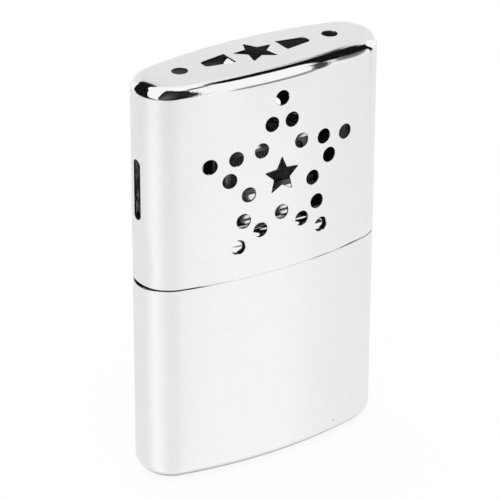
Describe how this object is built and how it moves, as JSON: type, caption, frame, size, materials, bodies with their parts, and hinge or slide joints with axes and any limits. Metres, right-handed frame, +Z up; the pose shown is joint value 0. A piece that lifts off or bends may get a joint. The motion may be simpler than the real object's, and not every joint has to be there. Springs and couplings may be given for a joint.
{
  "type": "catalytic hand warmer",
  "caption": "Flat oval metal hand warmer: a cotton-filled fuel tank, a slip-on catalyst burner and a lift-off cap with star-pattern vents.",
  "frame": {"origin": "middle of the flat base", "axes": "+Z up through the cap, -Y the front face, +X to the right seen from the front"},
  "size_m": [0.066, 0.0234, 0.1055],
  "materials": {
    "case_plating": "plated sheet, fine satin faces and mirror-bright rounded edges",
    "collar_plating": "plated sheet, mirror bright",
    "burner_rims": "plated sheet, bright with faint heat tint",
    "burner_sheet": "pressed sheet, dull from heat",
    "screen_wire": "fine woven wire, dull grey",
    "cotton": "loose white cotton",
    "gauze": "thin open white gauze",
    "catalyst_fibre": "matted glass fibre with a dark metallic coating"
  },
  "bodies": {
    "tank": {"tank_case": "case_plating", "tank_collar": "collar_plating", "filler_neck": "collar_plating", "cotton_batting": "cotton", "cotton_plug": "cotton", "plug_gauze": "gauze"},
    "burner": {"burner_socket": "burner_rims", "burner_floor": "burner_sheet", "burner_front_shell": "burner_sheet", "burner_back_shell": "burner_sheet", "burner_lid": "burner_rims", "burner_end_clips": "burner_rims", "front_screen": "screen_wire", "back_screen": "screen_wire", "catalyst_wad": "catalyst_fibre"},
    "cap": {"cap_shell": "case_plating"}
  },
  "joints": [
    {"name": "cap_lift", "type": "slide", "parent": "tank", "child": "cap", "axis": [0, 0, 1], "range_m": [0, 0.045]},
    {"name": "burner_pull", "type": "slide", "parent": "tank", "child": "burner", "axis": [0, 0, 1], "range_m": [0, 0.01]}
  ]
}
